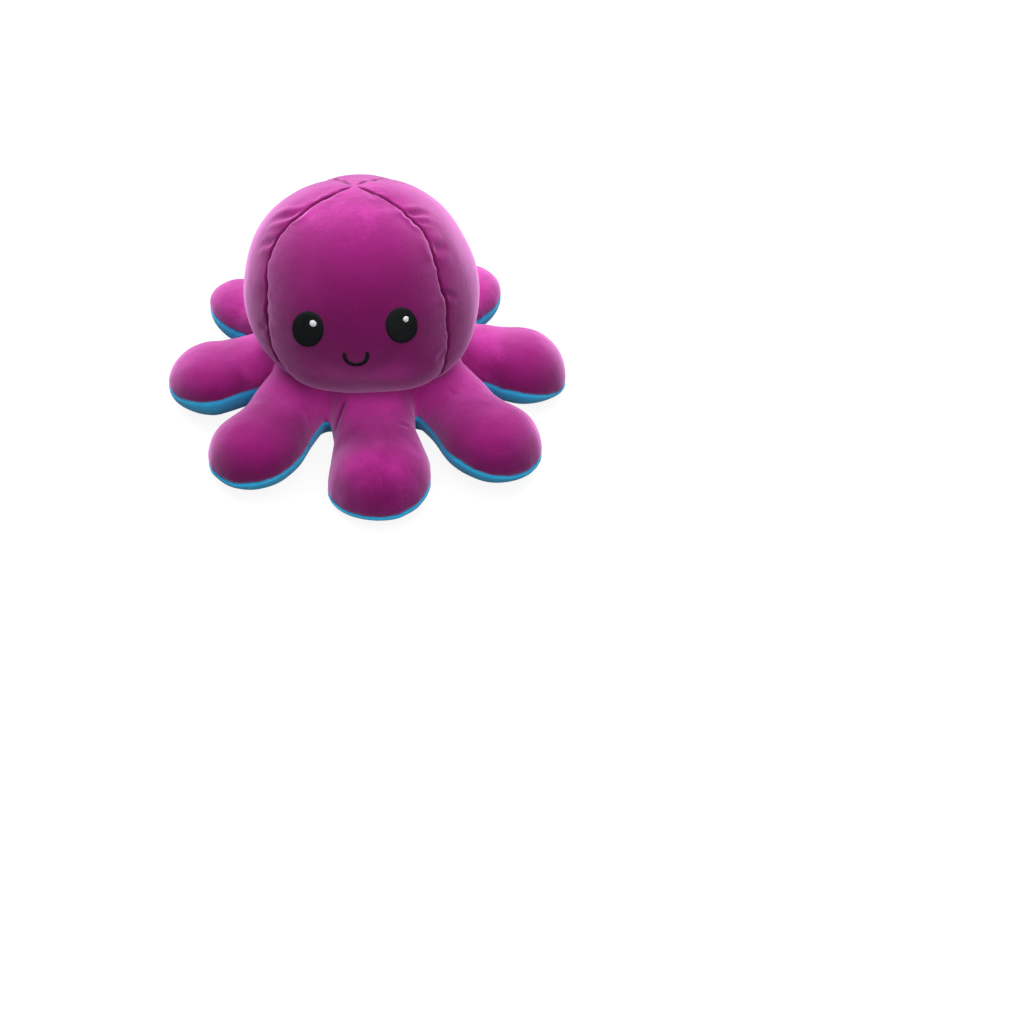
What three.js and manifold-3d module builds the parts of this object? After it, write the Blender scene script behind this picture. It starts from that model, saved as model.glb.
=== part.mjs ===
// A reversible plush octopus, about 20 cm across its eight arms, with its purple side out.
//
// Two plush skins are sewn together round the edge of the arms. The purple one makes the head and
// the tops of the arms. The blue one makes the soles of the arms and a pocket that goes up inside
// the head, and it carries a second face, because the toy is played with by turning it inside out
// through the pocket's mouth. Fibre fill lies between the two skins. Each arm bends at its root.
//
// Millimetres, +Z up. The origin is on the floor under the middle of the eight arms, and arm 1
// points along -Y, which is about where the face looks.

import * as THREE from 'three'
import { mergeVertices } from 'three/addons/utils/BufferGeometryUtils.js'
import Module from 'manifold-3d'

const wasm = await Module()
wasm.setup()

// Cloth and clearances
const plush = 1.5 // plush fabric, backing and pile
const seat = 0.3 // between two pieces that lie against each other
const fillClearance = 0.5 // between the fill and the skin of the head or the pocket
const overrun = 6 // how far a cutting shape runs past what it cuts
const weld = 0.01 // corners nearer than this are one corner

// Arms
const armCount = 8
const armSpan = 200 // across two opposite arms
const toeRadius = 23.3 // half the width of the round toe
const neckReach = 46 // the arm is narrowest here, measured from the middle of the toy
const neckHalfWidth = 19
const rootReach = 24 // from here inwards the arms have run together
const rootHalfWidth = 27
const seamHeight = 15 // the seam between the purple top and the blue sole
const settle = 0.5 // how much the soles are pressed flat on the floor
const toeCrown = 15 // height of the purple top above the seam
const neckCrown = 15
const rootCrown = 16.5
const fullnessShare = 0.87 // power of the section: 1 is an ellipse, less is squarer

// How each arm lies beyond its root, against a plain one: degrees of turn, millimetres longer, and
// its share of the width and of the height. Those at the sides are shorter, and those behind smaller.
const freeReach = 50 // from here outwards an arm lies its own way
const armForms = [
  { turn: -0.8, longer: -2, width: 1.03, height: 1 },
  { turn: -0.8, longer: 1, width: 0.97, height: 1 },
  { turn: 0.5, longer: -3.5, width: 0.94, height: 0.97 },
  { turn: 2.6, longer: -1, width: 0.83, height: 0.86 },
  { turn: 0, longer: -1, width: 0.95, height: 0.97 },
  { turn: -2.2, longer: -1.5, width: 0.77, height: 0.83 },
  { turn: -3.2, longer: -5.5, width: 0.91, height: 0.93 },
  { turn: -3.4, longer: -1.5, width: 0.93, height: 0.98 },
]

// Bending of an arm at its root
const hingeReach = 46
const bendClearance = 0.5 // between the arm and the knuckle that it turns on
const knuckleAngle = 60 // where the skin meets the knuckle, above and below the seam
const knucklePast = 8 // degrees that the knuckle's curve goes on past the skin

// Head
const headRadius = 55.3
const headHalfHeight = 49.5
const headRise = 36.5 // middle of the head above the arms' roots
const headShift = -3 // the head sits a little to its right on the arms
const headTurn = -7.3 // degrees about Z
const headRoll = -3.4 // degrees about Y
const headLean = 11 // degrees that it leans back, about X
const frontPanelAngle = 100 // degrees of the head that the front and the back panel each take
const seamDrawShare = 0.02 // how far the seams are drawn in, as a share of the radius
const seamSpread = 20 // degrees to each side of a seam over which it draws in

// Pocket
const mouthRadius = 26
const waistRadius = 23.5
const pocketRadius = 36
const pocketHalfHeight = 30
const pocketDrop = 4 // middle of the pocket under the middle of the head

// Embroidery, satin stitch that stands a little proud of the plush
const stitchHeight = 1
const eyeHalfWidth = 8.1
const eyeHalfHeight = 9.6
const eyeLean = 38 // degrees that the top of an eye leans to the middle of the face
const eyeAzimuth = 22.7 // degrees to each side of the middle of the face
const eyeElevation = 2.3
const glintRadius = 1.7
const glintAside = 2.5 // from the middle of the eye, to the viewer's right
const glintRise = 3.5
const smileHalfWidth = 4.9
const smileDepth = 7.4
const smileElevation = -13.9
const mouthStroke = 2.3
const grumpyEyeHalfWidth = 10.4
const grumpyEyeDrop = 17 // from the flat lid down to the round bottom
const grumpyLidSlope = 8.5 // degrees that the lids slope down to the middle of the face
const grumpyEyeAzimuth = 35 // of the middle of the lid
const grumpyEyeElevation = 14
const grumpyGlintAside = 3.4
const grumpyGlintDrop = 5
const frownHalfWidth = 5.7
const frownDepth = 6
const frownElevation = -18

// Facets
const ballSegments = 36
const ballRows = 10
const pocketSegments = 24
const pocketRows = 8
const sectionSteps = 6
const toeAngles = [32, 62]
const knuckleSteps = 8
const patchSegments = 16
const glintSegments = 10
const domeShares = [[0.5, 0], [1, 0], [1, 0.5], [0.9, 1], [0.45, 1]] // of reach and of height

// Sizes that follow
const armReach = armSpan / 2
const toeCentre = armReach - toeRadius
const soleDepth = seamHeight + settle
const skirtTop = seamHeight + rootCrown
const headHeight = skirtTop + headRise
const pocketHeight = headHeight - pocketDrop
const knuckleRadius = Math.max(neckCrown, soleDepth) / Math.sin(radians(knuckleAngle))
const fillInset = plush + seat
const headFillInset = plush + fillClearance

function radians(degrees) {
  return THREE.MathUtils.degToRad(degrees)
}

// Solids for cutting and joining

function solidOf(geometry) {
  const bare = geometry.clone()
  bare.deleteAttribute('normal')
  bare.deleteAttribute('uv')
  const merged = mergeVertices(bare, weld)
  const corners = []
  for (let i = 0; i < merged.index.count; i += 3) {
    const [a, b, c] = [0, 1, 2].map((step) => merged.index.getX(i + step))
    if (a !== b && b !== c && c !== a) corners.push(a, b, c)
  }
  return new wasm.Manifold(
    new wasm.Mesh({
      numProp: 3,
      vertProperties: merged.attributes.position.array,
      triVerts: new Uint32Array(corners),
    }),
  )
}

function geometryOf(solid) {
  const mesh = solid.getMesh()
  const geometry = new THREE.BufferGeometry()
  geometry.setAttribute('position', new THREE.BufferAttribute(mesh.vertProperties, 3))
  geometry.setIndex(new THREE.BufferAttribute(mesh.triVerts, 1))
  geometry.computeVertexNormals()
  return geometry
}

function box(from, to) {
  const size = to.clone().sub(from)
  const middle = from.clone().add(to).multiplyScalar(0.5)
  const geometry = new THREE.BoxGeometry(size.x, size.y, size.z)
  return solidOf(geometry.translate(middle.x, middle.y, middle.z))
}

// A layer of everything between two heights.
function layer(low, high) {
  const side = armReach + overrun
  return box(new THREE.Vector3(-side, -side, low), new THREE.Vector3(side, side, high))
}

// Turns an outline of radius and height, from the axis up to the axis, round Z.
function turned(outline, segments) {
  const geometry = new THREE.LatheGeometry(
    outline.map(([radius, height]) => new THREE.Vector2(radius, height)),
    segments,
  )
  return geometry.rotateX(radians(90))
}

// Skins a solid over rings of points that run along +X and turn from +Y to +Z, up to a tip.
function loft(rings, tip) {
  const around = rings[0].length
  const start = new THREE.Vector3()
  rings[0].forEach((point) => start.addScaledVector(point, 1 / around))
  const points = [...rings.flat(), start, tip]
  const startIndex = points.length - 2
  const tipIndex = points.length - 1
  const lastRing = (rings.length - 1) * around
  const faces = []
  for (let j = 0; j < around; j += 1) {
    const next = (j + 1) % around
    faces.push(startIndex, next, j)
    faces.push(lastRing + j, lastRing + next, tipIndex)
    for (let ring = 0; ring < lastRing; ring += around) {
      faces.push(ring + j, ring + next, ring + around + next)
      faces.push(ring + j, ring + around + next, ring + around + j)
    }
  }
  const geometry = new THREE.BufferGeometry()
  geometry.setFromPoints(points)
  geometry.setIndex(faces)
  return geometry
}

// Arms, drawn along +X

// Half width and height over the seam at each station, from the middle of the toy to the toe.
function armStations(inset) {
  const blend = (reach, from, to) => THREE.MathUtils.smoothstep(reach, from, to)
  const mix = THREE.MathUtils.lerp
  const stations = []
  const straightReaches = [
    rootReach / 2,
    rootReach,
    (rootReach + neckReach) / 2,
    neckReach,
    (neckReach + toeCentre) / 2,
    toeCentre,
  ]
  for (const reach of straightReaches) {
    const rooted = blend(reach, rootReach, neckReach)
    const swollen = blend(reach, neckReach, toeCentre)
    const halfWidth = mix(mix(rootHalfWidth, neckHalfWidth, rooted), toeRadius, swollen)
    const crown = mix(mix(rootCrown, neckCrown, rooted), toeCrown, swollen)
    stations.push({
      reach,
      halfWidth: halfWidth - inset,
      crown: crown - inset,
      depth: soleDepth - inset,
    })
  }
  for (const angle of toeAngles.map(radians)) {
    const narrowing = Math.cos(angle)
    stations.push({
      reach: toeCentre + (toeRadius - inset) * Math.sin(angle),
      halfWidth: (toeRadius - inset) * narrowing,
      crown: (toeCrown - inset) * narrowing ** fullnessShare,
      depth: (soleDepth - inset) * narrowing ** fullnessShare,
    })
  }
  return stations
}

// One point of a section. Its angle turns from one seam over the top to the other and back below.
function sectionPoint(station, angle, base) {
  const across = Math.cos(angle)
  const above = Math.sin(angle)
  const height = above > 0 ? station.crown : station.depth
  return new THREE.Vector3(
    station.reach,
    station.halfWidth * Math.sign(across) * Math.abs(across) ** fullnessShare,
    base + height * Math.sign(above) * Math.abs(above) ** fullnessShare,
  )
}

function armLoft(inset, fromAngle, toAngle, steps, base) {
  const rings = armStations(inset).map((station) => {
    const ring = []
    for (let i = 0; i < steps; i += 1) {
      const angle = THREE.MathUtils.lerp(fromAngle, toAngle, i / (steps - 1))
      ring.push(sectionPoint(station, radians(angle), base))
    }
    return ring
  })
  return solidOf(loft(rings, new THREE.Vector3(armReach - inset, 0, base)))
}

// The half of the arm over the seam, and the half under it, each out to its outer face.
const armTopHalf = armLoft(0, 0, 180, sectionSteps + 1, seamHeight + seat / 2)
const armSoleHalf = armLoft(0, 180, 360, sectionSteps + 1, seamHeight - seat / 2)

// The whole arm inside the skin, and the fill in it.
const wholeSteps = 2 * sectionSteps
const lastStepAngle = 360 - 360 / wholeSteps
const armInside = armLoft(plush, 0, lastStepAngle, wholeSteps, seamHeight)
const armFill = armLoft(fillInset, 0, lastStepAngle, wholeSteps, seamHeight)

// Everything beyond a knuckle of some radius, which is what bends with the arm.
function beyondKnuckle(radius) {
  const shape = new THREE.Shape()
  const steepest = radians(knuckleAngle + knucklePast)
  shape.moveTo(hingeReach + radius * Math.cos(steepest), seamHeight - armReach)
  for (let i = 0; i <= knuckleSteps; i += 1) {
    const angle = THREE.MathUtils.lerp(-steepest, steepest, i / knuckleSteps)
    shape.lineTo(hingeReach + radius * Math.cos(angle), seamHeight + radius * Math.sin(angle))
  }
  const far = armReach + overrun
  shape.lineTo(hingeReach + radius * Math.cos(steepest), seamHeight + armReach)
  shape.lineTo(far, seamHeight + armReach)
  shape.lineTo(far, seamHeight - armReach)
  const halfWidth = rootHalfWidth + overrun
  const geometry = new THREE.ExtrudeGeometry(shape, { depth: 2 * halfWidth, bevelEnabled: false })
  geometry.translate(0, 0, -halfWidth)
  return solidOf(geometry.rotateX(radians(90)))
}

const bending = beyondKnuckle(knuckleRadius + bendClearance / 2)
const beyondRoot = beyondKnuckle(knuckleRadius - bendClearance / 2)
const floor = layer(-overrun, 0)

// Degrees about Z from +X to each arm. Arm 1 points along -Y.
function armAngle(k) {
  return (360 / armCount) * k - 90
}

// Lays an arm that was drawn along +X the way it lies beyond its root.
function laidDown(arm, { turn, longer, width, height }) {
  return arm.warp((point) => {
    const [reach, aside, level] = point
    const free = THREE.MathUtils.smoothstep(reach, freeReach, toeCentre)
    const angle = radians(turn * free)
    const along = reach + longer * free
    const across = aside * THREE.MathUtils.lerp(1, width, free)
    point[0] = along * Math.cos(angle) - across * Math.sin(angle)
    point[1] = along * Math.sin(angle) + across * Math.cos(angle)
    point[2] = level * THREE.MathUtils.lerp(1, height, free)
  })
}

// The three pieces of one arm.
function armPieces(form) {
  const inside = laidDown(armInside, form)
  const top = laidDown(armTopHalf, form).subtract(inside)
  const sole = laidDown(armSoleHalf, form).subtract(inside).subtract(floor)
  return {
    top: geometryOf(top.intersect(bending)),
    sole: geometryOf(sole.intersect(bending)),
    stuffing: geometryOf(laidDown(armFill, form).intersect(bending)),
  }
}

// The same solid of all the arms, joined in the middle. Each may be trimmed first.
function joined(arm, trimmed = (solid) => solid) {
  const copies = armForms.map((form, k) => trimmed(laidDown(arm, form)).rotate([0, 0, armAngle(k)]))
  return copies.reduce((all, next) => all.add(next))
}

// The roots of all the arms, each cut at its knuckle.
function rootsOf(arm) {
  return joined(arm, (solid) => solid.subtract(beyondRoot))
}

const allInside = joined(armInside)
const rootFill = rootsOf(armFill)
const mouth = solidOf(
  turned(
    [
      [0, -overrun],
      [mouthRadius, -overrun],
      [mouthRadius, seamHeight],
      [0, seamHeight],
    ],
    pocketSegments,
  ),
)

// Head

const headPlace = new THREE.Matrix4()
  .makeTranslation(headShift, 0, headHeight)
  .multiply(new THREE.Matrix4().makeRotationZ(radians(headTurn)))
  .multiply(new THREE.Matrix4().makeRotationY(radians(headRoll)))
  .multiply(new THREE.Matrix4().makeRotationX(radians(-headLean)))

const sidePanelAngle = 180 - frontPanelAngle
const panels = [
  { name: 'front', azimuth: 0, angle: frontPanelAngle },
  { name: 'left', azimuth: 90, angle: sidePanelAngle },
  { name: 'back', azimuth: 180, angle: frontPanelAngle },
  { name: 'right', azimuth: 270, angle: sidePanelAngle },
]

// Degrees from a direction to the nearest seam between two panels. Azimuth 0 is the face.
function fromSeam(azimuth) {
  const folded = Math.abs(THREE.MathUtils.euclideanModulo(azimuth + 90, 180) - 90)
  return Math.abs(folded - frontPanelAngle / 2)
}

// Draws the ball in along its four seams.
function drawInSeams(geometry) {
  const position = geometry.attributes.position
  for (let i = 0; i < position.count; i += 1) {
    const [x, y] = [position.getX(i), position.getY(i)]
    const azimuth = THREE.MathUtils.radToDeg(Math.atan2(x, -y))
    const nearness = Math.max(0, 1 - fromSeam(azimuth) / seamSpread)
    const share = 1 - seamDrawShare * nearness
    position.setXY(i, x * share, y * share)
  }
}

function headBall(inset) {
  const outline = []
  for (let row = 0; row <= ballRows; row += 1) {
    const angle = radians(THREE.MathUtils.lerp(-90, 90, row / ballRows))
    const radius = (headRadius - inset) * Math.cos(angle)
    outline.push([radius, (headHalfHeight - inset) * Math.sin(angle)])
  }
  const geometry = turned(outline, ballSegments)
  drawInSeams(geometry)
  return solidOf(geometry.applyMatrix4(headPlace))
}

// The upright wedge that holds one panel, half a seam short on both sides.
function panelWedge({ azimuth, angle }, radius, place) {
  const half = radians(angle / 2)
  const apex = seat / 2 / Math.sin(half)
  const side = (radius + overrun) / Math.cos(half)
  const shape = new THREE.Shape()
  shape.moveTo(0, -apex)
  shape.lineTo(-side * Math.sin(half), -apex - side * Math.cos(half))
  shape.lineTo(side * Math.sin(half), -apex - side * Math.cos(half))
  const height = 2 * (headHeight + overrun)
  const geometry = new THREE.ExtrudeGeometry(shape, { depth: height, bevelEnabled: false })
  geometry.translate(0, 0, -height / 2)
  return solidOf(geometry.rotateZ(radians(azimuth)).applyMatrix4(place))
}

const headInside = headBall(plush)

// Pocket

// Outline of the pocket, or of what lies a given distance outside it.
function pocketSolid(growth, low) {
  const radius = pocketRadius + growth
  const halfHeight = pocketHalfHeight + growth
  const waistAngle = Math.acos((waistRadius + growth) / radius)
  const outline = [
    [0, low],
    [mouthRadius + growth, low],
    [mouthRadius + growth, 0],
  ]
  for (let row = 0; row <= pocketRows; row += 1) {
    const angle = THREE.MathUtils.lerp(-waistAngle, Math.PI / 2, row / pocketRows)
    outline.push([radius * Math.cos(angle), pocketHeight + halfHeight * Math.sin(angle)])
  }
  return solidOf(turned(outline, pocketSegments))
}

const skirtHollow = rootFill.add(layer(seamHeight, headHeight + headRadius))
const liningShell = pocketSolid(plush, -overrun)
  .subtract(pocketSolid(0, -2 * overrun))
  .intersect(skirtHollow)

// The skin of the head, which stands on the arms' roots
const skirtCover = rootsOf(armLoft(-seat, 0, lastStepAngle, wholeSteps, seamHeight))
const pocketCover = pocketSolid(plush + seat, -overrun)
const headShell = headBall(0).subtract(headInside).subtract(skirtCover).subtract(pocketCover)

// The two rings that join the arms, and the fill of the head and the ring
const skirtTopSkin = rootsOf(armTopHalf)
  .subtract(allInside)
  .subtract(headInside)
  .subtract(pocketCover)
const skirtUndersideSkin = rootsOf(armSoleHalf).subtract(allInside).subtract(mouth).subtract(floor)
const bodyFill = headBall(headFillInset)
  .add(rootFill)
  .subtract(pocketSolid(plush + fillClearance, -overrun))

// Embroidery

// A low dome of stitches over a flat outline, with its underside at height 0. The outline turns
// from +X to +Y.
function stitchedPatch(outline) {
  const middle = outline.reduce((sum, point) => sum.add(point), new THREE.Vector2())
  middle.divideScalar(outline.length)
  const ringAt = ([reachShare, heightShare]) =>
    outline.map((point) => {
      const { x, y } = middle.clone().lerp(point, reachShare)
      return new THREE.Vector3(x, y, stitchHeight * heightShare)
    })
  return loft(domeShares.map(ringAt), new THREE.Vector3(middle.x, middle.y, stitchHeight))
}

function ovalPoints(halfWidth, halfHeight, fromAngle, toAngle, steps) {
  const points = []
  for (let i = 0; i <= steps; i += 1) {
    const angle = radians(THREE.MathUtils.lerp(fromAngle, toAngle, i / steps))
    points.push(new THREE.Vector2(halfWidth * Math.cos(angle), halfHeight * Math.sin(angle)))
  }
  return points
}

function stitchedOval(halfWidth, halfHeight, steps) {
  return stitchedPatch(ovalPoints(halfWidth, halfHeight, 0, 360, steps).slice(1))
}

// A grumpy eye, the lower half of an oval under a lid that slopes down to the middle of the face.
function liddedEye(side) {
  const bowl = ovalPoints(grumpyEyeHalfWidth, grumpyEyeDrop, 180, 360, patchSegments / 2)
  const lid = [grumpyEyeHalfWidth / 2, 0, -grumpyEyeHalfWidth / 2].map((x) => new THREE.Vector2(x, 0))
  return stitchedPatch([...bowl, ...lid]).rotateZ(radians(grumpyLidSlope * side))
}

// A curved stroke of stitches. It sags by a depth, or rises where the depth is negative.
function stitchedCurve(halfWidth, depth) {
  const drop = Math.abs(depth)
  const radius = (halfWidth ** 2 + drop ** 2) / (2 * drop)
  const reach = Math.asin(Math.min(1, halfWidth / radius))
  const half = drop > radius ? Math.PI - reach : reach
  const shape = new THREE.Shape()
  shape.absarc(0, 0, radius + mouthStroke / 2, -Math.PI / 2 - half, -Math.PI / 2 + half)
  shape.absarc(0, 0, radius - mouthStroke / 2, -Math.PI / 2 + half, -Math.PI / 2 - half, true)
  const geometry = new THREE.ExtrudeGeometry(shape, {
    depth: stitchHeight,
    bevelEnabled: false,
    curveSegments: patchSegments / 2,
  })
  geometry.translate(0, radius - drop / 2, 0)
  return depth < 0 ? geometry.rotateZ(Math.PI) : geometry
}

// Lays a flat piece of embroidery on a ball, round a direction from the ball's middle. Flat +X
// goes to the viewer's right and flat +Y up. Its height counts from the ball's surface, outwards,
// or inwards where the ball is the pocket.
function laidOn(ball, geometry, azimuth, elevation, lift) {
  const toRight = ball.outwards ? 1 : -1
  const [a, e] = [radians(azimuth), radians(elevation)]
  const outward = new THREE.Vector3(Math.sin(a) * Math.cos(e), -Math.cos(a) * Math.cos(e), Math.sin(e))
  const right = new THREE.Vector3(Math.cos(a), Math.sin(a), 0).multiplyScalar(toRight)
  const up = new THREE.Vector3(-Math.sin(a) * Math.sin(e), Math.cos(a) * Math.sin(e), Math.cos(e))
  const middle = onBall(ball, outward, 0)
  const laid = geometry.clone()
  const position = laid.attributes.position
  for (let i = 0; i < position.count; i += 1) {
    const flat = new THREE.Vector3().fromBufferAttribute(position, i)
    const point = middle.clone().addScaledVector(right, flat.x).addScaledVector(up, flat.y)
    const placed = onBall(ball, point, (lift + flat.z) * toRight)
    position.setXYZ(i, placed.x, placed.y, placed.z)
  }
  laid.computeVertexNormals()
  return laid
}

// Where the line from the ball's middle through a point meets the ball, grown by a distance.
function onBall(ball, point, growth) {
  const radius = ball.radius + growth
  const halfHeight = ball.halfHeight + growth
  const stretch = Math.hypot(point.x / radius, point.y / radius, point.z / halfHeight)
  return point.clone().divideScalar(stretch)
}

// How far the flat facets of the pocket lie inside its round form.
const pocketTurn = Math.PI / 2 + Math.acos(waistRadius / pocketRadius)
const halfFacets = [Math.PI / pocketSegments, pocketTurn / (2 * pocketRows)]
const pocketSag = halfFacets.reduce((sum, half) => sum + pocketRadius * (1 - Math.cos(half)), 0)

const headSurface = { radius: headRadius, halfHeight: headHalfHeight, outwards: true }
const pocketSurface = { radius: pocketRadius, halfHeight: pocketHalfHeight, outwards: false }

// Materials
const purple = { color: 0x9c3a84, roughness: 0.9, metalness: 0 }
const blue = { color: 0x1f9fe0, roughness: 0.9, metalness: 0 }
const fill = { color: 0xf2f0ea, roughness: 1, metalness: 0 }
const blackThread = { color: 0x17191c, roughness: 0.5, metalness: 0 }
const whiteThread = { color: 0xe9ecf0, roughness: 0.5, metalness: 0 }

function piece(name, geometry, look) {
  const mesh = new THREE.Mesh(geometry, new THREE.MeshStandardMaterial(look))
  mesh.name = name
  return mesh
}

// The octopus
const octopus = new THREE.Group()

for (let k = 0; k < armCount; k += 1) {
  const arm = new THREE.Group()
  const { top, sole, stuffing } = armPieces(armForms[k])
  arm.rotation.z = radians(armAngle(k))
  arm.add(piece(`arm_${k + 1}_top`, top, purple))
  arm.add(piece(`arm_${k + 1}_sole`, sole, blue))
  arm.add(piece(`arm_${k + 1}_stuffing`, stuffing, fill))
  octopus.add(arm)
}

const pocketPlace = new THREE.Matrix4().makeTranslation(0, 0, pocketHeight)
for (const panel of panels) {
  const headPanel = headShell.intersect(panelWedge(panel, headRadius, headPlace))
  const liningPanel = liningShell.intersect(panelWedge(panel, pocketRadius, pocketPlace))
  octopus.add(piece(`head_${panel.name}_panel`, geometryOf(headPanel), purple))
  octopus.add(piece(`lining_${panel.name}_panel`, geometryOf(liningPanel), blue))
}

octopus.add(piece('skirt_top', geometryOf(skirtTopSkin), purple))
octopus.add(piece('skirt_underside', geometryOf(skirtUndersideSkin), blue))
octopus.add(piece('body_stuffing', geometryOf(bodyFill), fill))

// The happy face on the head, and the grumpy one in the pocket. Left and right are the viewer's.
const face = new THREE.Group()
const grumpyFace = new THREE.Group()
face.applyMatrix4(headPlace)
grumpyFace.applyMatrix4(pocketPlace)
octopus.add(face, grumpyFace)

const onStitches = seat + stitchHeight + seat
for (const [name, side] of [['left', -1], ['right', 1]]) {
  const azimuth = eyeAzimuth * side
  const eye = stitchedOval(eyeHalfWidth, eyeHalfHeight, patchSegments).rotateZ(radians(eyeLean * side))
  const glint = stitchedOval(glintRadius, glintRadius, glintSegments).translate(glintAside, glintRise, 0)
  const eyeLaid = laidOn(headSurface, eye, azimuth, eyeElevation, seat)
  const glintLaid = laidOn(headSurface, glint, azimuth, eyeElevation, onStitches)
  face.add(piece(`eye_${name}`, eyeLaid, blackThread))
  face.add(piece(`eye_glint_${name}`, glintLaid, whiteThread))

  const grumpyAzimuth = -grumpyEyeAzimuth * side
  const grumpyEye = liddedEye(-side)
  const grumpyGlint = stitchedOval(glintRadius, glintRadius, glintSegments)
  grumpyGlint.translate(grumpyGlintAside, -grumpyGlintDrop, 0)
  const onLining = seat + pocketSag
  const grumpyEyeLaid = laidOn(pocketSurface, grumpyEye, grumpyAzimuth, grumpyEyeElevation, onLining)
  const grumpyGlintLaid = laidOn(
    pocketSurface,
    grumpyGlint,
    grumpyAzimuth,
    grumpyEyeElevation,
    onStitches + pocketSag,
  )
  grumpyFace.add(piece(`lining_eye_${name}`, grumpyEyeLaid, blackThread))
  grumpyFace.add(piece(`lining_glint_${name}`, grumpyGlintLaid, whiteThread))
}

const smile = stitchedCurve(smileHalfWidth, smileDepth)
face.add(piece('smile', laidOn(headSurface, smile, 0, smileElevation, seat), blackThread))
const frown = stitchedCurve(frownHalfWidth, -frownDepth)
const frownLaid = laidOn(pocketSurface, frown, 0, frownElevation, seat + pocketSag)
grumpyFace.add(piece('frown', frownLaid, blackThread))

export default octopus
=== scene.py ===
# %% [markdown]
# # A reversible plush octopus
# The toy is two octopus skins sewn together along the edges of their arms, a purple one outside and
# a blue one inside. Fibre fill stands between them, and the blue head is pushed up inside the purple
# one as a pocket. The CAD model gives every size. Here each solid gets its cloth: gores with sewn
# seams, arms that swell between seam and crease, and satin stitch for the faces.

# %% The frame
import math
import random

import bmesh
import bpy
from mathutils import Matrix, Vector, noise
from mathutils.bvhtree import BVHTree


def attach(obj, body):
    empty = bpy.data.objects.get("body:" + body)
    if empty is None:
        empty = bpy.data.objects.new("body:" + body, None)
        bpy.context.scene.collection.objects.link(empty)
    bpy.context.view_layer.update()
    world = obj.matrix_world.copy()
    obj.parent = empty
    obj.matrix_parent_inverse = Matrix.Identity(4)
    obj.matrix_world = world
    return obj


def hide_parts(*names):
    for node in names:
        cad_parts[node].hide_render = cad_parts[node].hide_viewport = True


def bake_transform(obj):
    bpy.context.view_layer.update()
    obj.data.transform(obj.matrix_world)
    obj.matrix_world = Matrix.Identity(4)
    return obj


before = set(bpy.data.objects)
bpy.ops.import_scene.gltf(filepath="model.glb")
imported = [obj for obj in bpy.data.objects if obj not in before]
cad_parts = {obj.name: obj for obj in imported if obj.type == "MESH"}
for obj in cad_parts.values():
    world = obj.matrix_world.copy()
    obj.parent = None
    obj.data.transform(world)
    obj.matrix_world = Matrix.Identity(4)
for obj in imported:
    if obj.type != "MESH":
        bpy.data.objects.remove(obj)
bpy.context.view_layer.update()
MM = 0.001


# %% [markdown]
# ## Sizes
# These are the sizes that the CAD solids were drawn from, so the cloth lands on them with no
# fitting. Arms are drawn along +X and turned into place, and the head is drawn upright and leant.

# %% Sizes of the arms, in millimetres
ARM_COUNT = 8
TOE_RADIUS = 23.3
TOE_CENTRE = 76.7
NECK_REACH = 46.0
NECK_HALF_WIDTH = 19.0
ROOT_REACH = 24.0
ROOT_HALF_WIDTH = 27.0
ARM_MIDDLE = 15.0
TOE_CROWN = 15.0
NECK_CROWN = 15.0
ROOT_CROWN = 16.5
SOLE_DEPTH = 15.5
FULLNESS = 0.87

# %% Sizes of the head and the pocket, in millimetres
HEAD_RADIUS = 55.3
HEAD_HALF_HEIGHT = 49.5
HEAD_HEIGHT = 68.0
HEAD_SHIFT = -3.0
HEAD_TURN = -7.3
HEAD_ROLL = -3.4
HEAD_LEAN = 11.0
FRONT_PANEL_ANGLE = 100.0
WAIST_RADIUS = 23.5
WAIST_HEIGHT = 31.5
MOUTH_RADIUS = 26.0
POCKET_RADIUS = 36.0
POCKET_HALF_HEIGHT = 30.0
POCKET_HEIGHT = 64.0


# %% Shares, humps and directions
def smooth_step(value, low, high):
    share = min(1.0, max(0.0, (value - low) / (high - low)))
    return share * share * (3 - 2 * share)


def mix(first, second, share):
    return first + (second - first) * share


def hump(value, middle, spread):
    return math.exp(-(((value - middle) / spread) ** 2))


def level_radius(place):
    return math.hypot(place.x, place.y)


def ball_direction(azimuth, elevation):
    across = math.radians(azimuth)
    up = math.radians(elevation)
    return Vector((math.sin(across) * math.cos(up), -math.cos(across) * math.cos(up), math.sin(up)))


def stretched(towards, radius, half_height):
    return Vector((towards.x * radius, towards.y * radius, towards.z * half_height))


# %% [markdown]
# ## Camera
# The photograph looks down on the toy from about 38 degrees above and a little from its right. The
# toy stands in the upper left of the picture, so the camera is turned a little past it. It is turned
# about its own axes, because a turn about the vertical would tip the toy in the picture.

# %% Camera
CAMERA_DISTANCE = 1.5
CAMERA_AZIMUTH = -5.4
CAMERA_ELEVATION = 38.5
FOCAL_PIXELS = 3108.0
PICTURE_SIDE = 1024
TOY_PLACE = (366.6, 396.9)

away = ball_direction(CAMERA_AZIMUTH, CAMERA_ELEVATION)
camera_data = bpy.data.cameras.new("camera")
camera_data.lens = 36.0 * FOCAL_PIXELS / PICTURE_SIDE
camera = bpy.data.objects.new("camera", camera_data)
bpy.context.scene.collection.objects.link(camera)
facing_toy = (-away).to_track_quat("-Z", "Y")
toy_in_view = Vector(
    (
        (TOY_PLACE[0] - PICTURE_SIDE / 2) / FOCAL_PIXELS,
        (PICTURE_SIDE / 2 - TOY_PLACE[1]) / FOCAL_PIXELS,
        -1.0,
    )
)
camera.rotation_mode = "QUATERNION"
camera.rotation_quaternion = facing_toy @ toy_in_view.rotation_difference(Vector((0, 0, -1)))
camera.location = away * CAMERA_DISTANCE
camera_data.clip_start = 0.05
camera_data.clip_end = 50.0
bpy.context.scene.camera = camera
print("camera lens in mm:", round(camera_data.lens, 1))

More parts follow.
